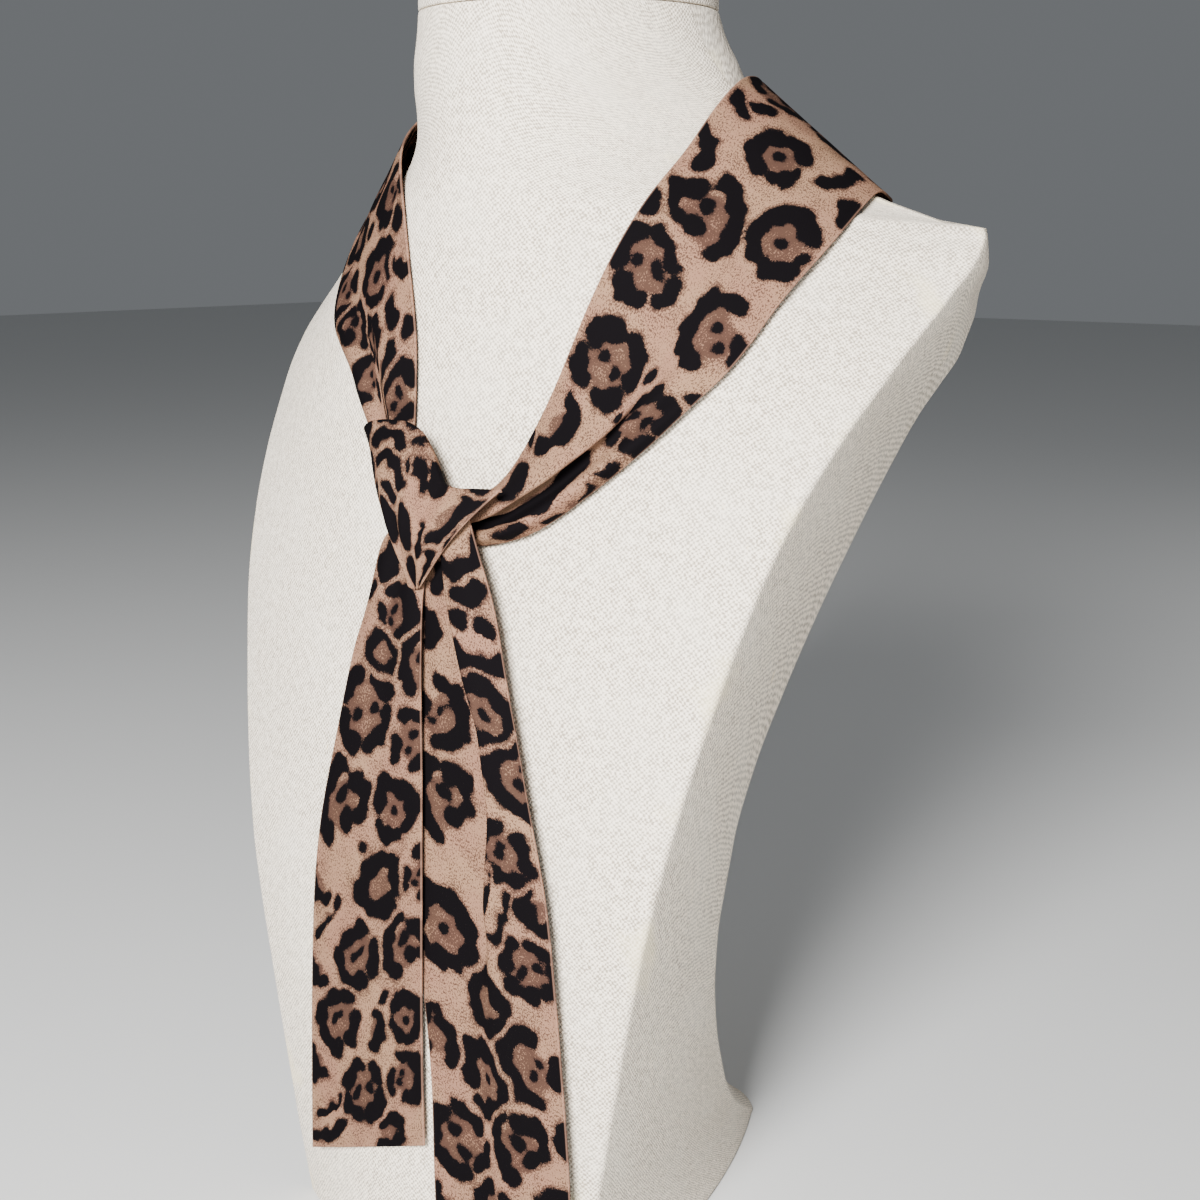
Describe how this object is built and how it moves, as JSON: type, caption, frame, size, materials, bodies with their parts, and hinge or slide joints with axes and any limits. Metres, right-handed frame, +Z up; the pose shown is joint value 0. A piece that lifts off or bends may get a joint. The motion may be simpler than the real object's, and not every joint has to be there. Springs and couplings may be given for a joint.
{
  "type": "ribbon scarf on a display bust",
  "caption": "Printed ribbon scarf knotted in front of a limbless linen display bust with a capped neck, ready to stand on a table or shelf.",
  "frame": {"origin": "centre of the part's own bounding box in plan, on the flat underside of the bust's base", "axes": "+Z up along the neck, the front of the bust and the scarf's knot face -Y, the bust's left shoulder is on +X"},
  "size_m": [0.2786, 0.1954, 0.4283],
  "materials": {
    "linen_cover": "off-white woven linen stretched over the bust, matte",
    "linen_cap": "off-white woven linen on the neck cap, matte",
    "scarf_print": "smooth printed ribbon cloth with dark rosettes on a rosy tan ground, soft sheen"
  },
  "bodies": {
    "root": {"bust_form": "linen_cover", "neck_cap": "linen_cap", "neck_back": "scarf_print", "strap_near": "scarf_print", "strap_far": "scarf_print", "knot_wrap": "scarf_print", "tail_left": "scarf_print", "tail_right": "scarf_print"}
  },
  "joints": []
}
